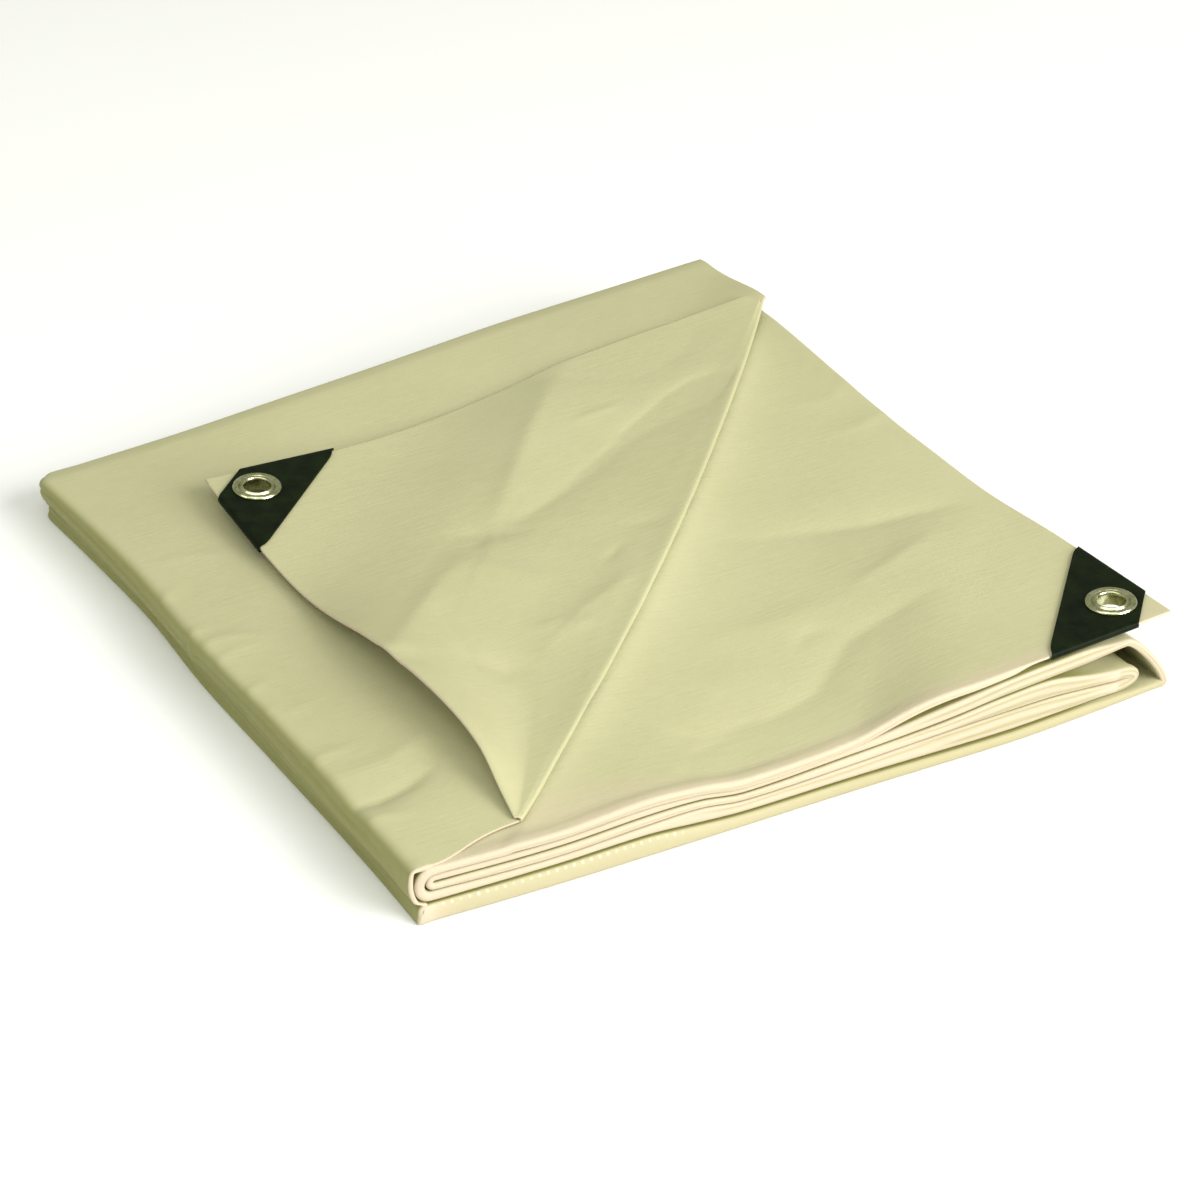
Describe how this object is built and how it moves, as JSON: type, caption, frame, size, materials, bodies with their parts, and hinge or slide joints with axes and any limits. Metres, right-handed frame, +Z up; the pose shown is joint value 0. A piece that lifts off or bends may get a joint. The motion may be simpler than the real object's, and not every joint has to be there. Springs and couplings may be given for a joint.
{
  "type": "folded tarp",
  "caption": "Poly tarpaulin folded to a flat square bundle, top layer peeled back along a diagonal, with plastic corner patches and metal eyelets",
  "frame": {"origin": "centre of the bounding box in plan, on the surface that the bundle lies on", "axes": "+X along the front edge from the folded spine to the open side, +Y from the front edge to the back edge, +Z up"},
  "size_m": [0.3636, 0.3762, 0.0432],
  "materials": {
    "tarp_cloth": "coated woven poly, satin",
    "corner_patch": "moulded plastic, satin",
    "eyelet_metal": "rolled bright metal"
  },
  "bodies": {
    "root": {"tarp_cloth": "tarp_cloth", "patch_right": "corner_patch", "patch_left": "corner_patch", "eyelet_right": "eyelet_metal", "eyelet_left": "eyelet_metal"}
  },
  "joints": []
}
